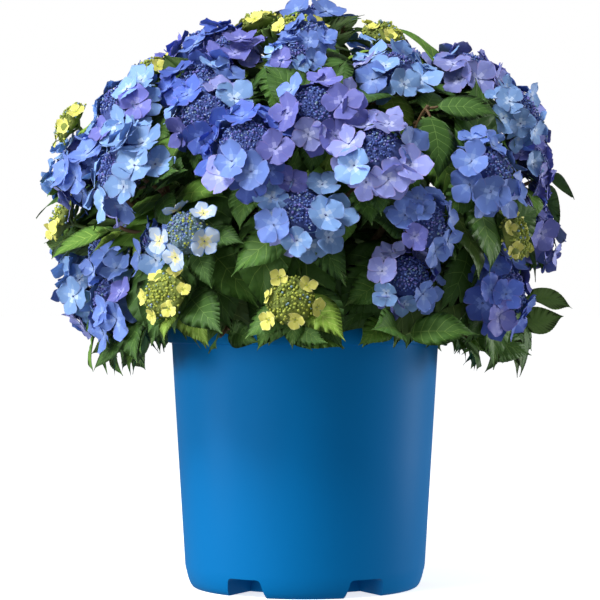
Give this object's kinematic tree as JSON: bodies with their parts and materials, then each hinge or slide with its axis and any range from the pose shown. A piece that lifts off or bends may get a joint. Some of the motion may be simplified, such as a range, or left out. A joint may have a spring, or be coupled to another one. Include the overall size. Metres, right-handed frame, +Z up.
{
  "type": "lacecap hydrangea shrub in a nursery pot",
  "caption": "Rounded lacecap hydrangea in flower, blue and violet with young lime clusters, standing in its plain blue nursery pot.",
  "frame": {"origin": "middle of the pot's flat underside, on the surface it stands on", "axes": "+Z up the plant, -Y towards the pictured front, +X to the right as seen from the front"},
  "size_m": [0.4663, 0.4798, 0.5201],
  "materials": {
    "pot": "satin moulded blue plastic, bare",
    "potting_mix": "rough, dark, bark and peat crumbs",
    "bark": "rough, peeling grey-brown bark",
    "cane": "smooth green-brown with small flecks",
    "foliage": "matt to satin green leaves",
    "leaf": "satin dark green with paler veins",
    "young_leaf": "satin yellow-green with paler veins",
    "floret_blue": "soft matt petals with paler veins",
    "floret_violet": "soft matt petals with paler veins",
    "floret_young": "soft matt lime petals",
    "bud_blue": "tiny matt beads",
    "bud_green": "tiny matt beads"
  },
  "bodies": {
    "root": {"pot": "pot", "potting_mix": "potting_mix", "stem": "bark", "cane_top": "cane", "cane_upper_1": "cane", "cane_upper_2": "cane", "cane_upper_3": "cane", "cane_upper_4": "cane", "cane_upper_5": "cane", "cane_lower_1": "cane", "cane_lower_2": "cane", "cane_lower_3": "cane", "cane_lower_4": "cane", "cane_lower_5": "cane", "cane_lower_6": "cane", "cane_lower_7": "cane", "cane_lower_8": "cane", "cane_lower_9": "cane", "foliage_top": "foliage", "foliage_upper_1": "foliage", "foliage_upper_2": "foliage", "foliage_upper_3": "foliage", "foliage_upper_4": "foliage", "foliage_upper_5": "foliage", "foliage_lower_1": "foliage", "foliage_lower_2": "foliage", "foliage_lower_3": "foliage", "foliage_lower_4": "foliage", "foliage_lower_5": "foliage", "foliage_lower_6": "foliage", "foliage_lower_7": "foliage", "foliage_lower_8": "foliage", "foliage_lower_9": "foliage"}
  },
  "joints": []
}
